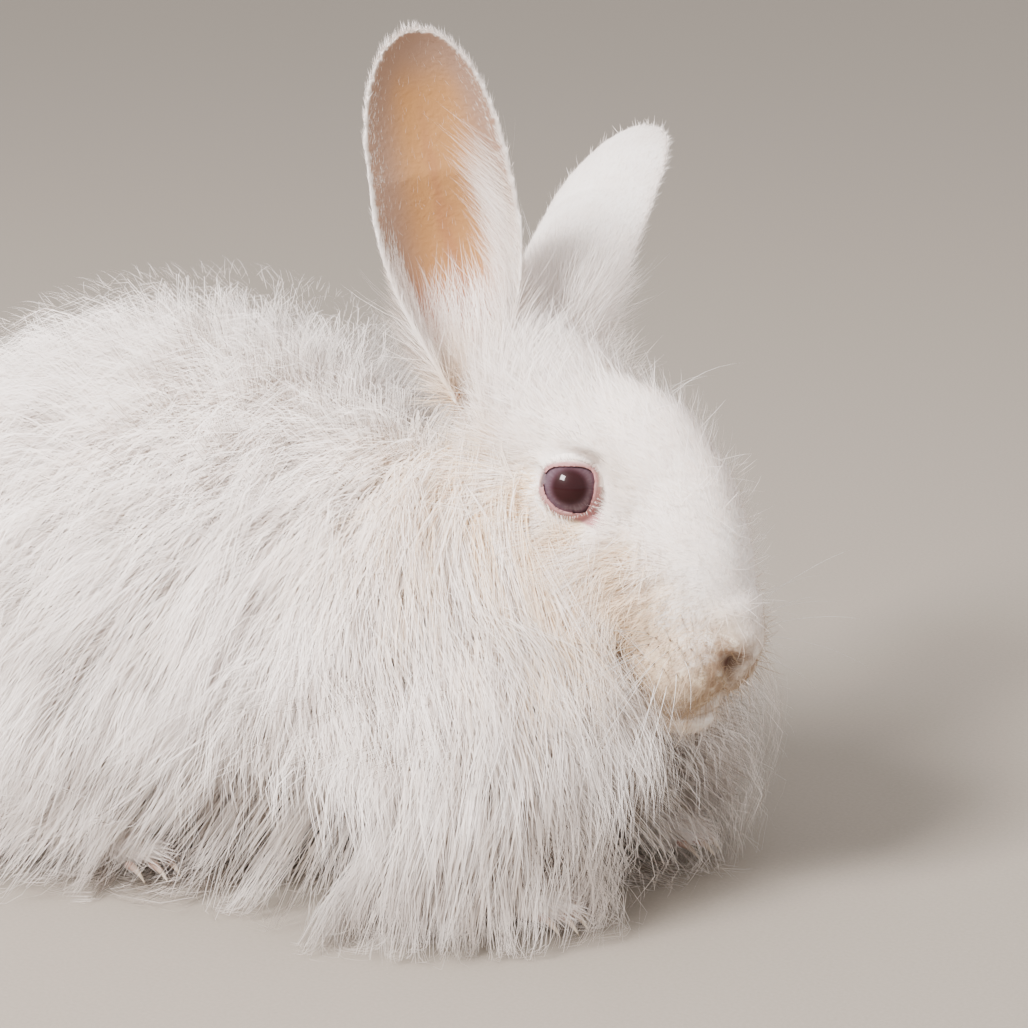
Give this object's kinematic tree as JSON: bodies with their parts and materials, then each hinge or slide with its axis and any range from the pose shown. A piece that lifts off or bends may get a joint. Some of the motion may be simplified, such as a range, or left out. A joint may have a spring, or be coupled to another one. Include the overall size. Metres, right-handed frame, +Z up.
{
  "type": "angora rabbit",
  "caption": "Life-size still model of a white long-haired angora rabbit crouched on the floor, one ear up and one ear held out to the side.",
  "frame": {"origin": "on the floor, under the middle of the body", "axes": "+X is the way the body and nose point, +Y the animal's left side, +Z up"},
  "size_m": [0.3376, 0.2303, 0.2512],
  "materials": {
    "white_coat": "long soft white wool",
    "cream_coat": "long wool with cream between the locks",
    "ear_skin": "thin bare skin edged with short white fur",
    "bare_skin": "pink skin of lids, nose and lips",
    "claw_horn": "pale smooth horn",
    "eye_gloss": "wet dark red eye"
  },
  "bodies": {
    "root": {"trunk": "white_coat", "neck": "cream_coat", "head": "white_coat", "tail": "white_coat", "foreleg_right": "white_coat", "foreleg_left": "white_coat", "hindleg_right": "white_coat", "hindleg_left": "white_coat", "ear_right": "ear_skin", "ear_left": "ear_skin", "eye_right": "eye_gloss", "eye_left": "eye_gloss"}
  },
  "joints": []
}
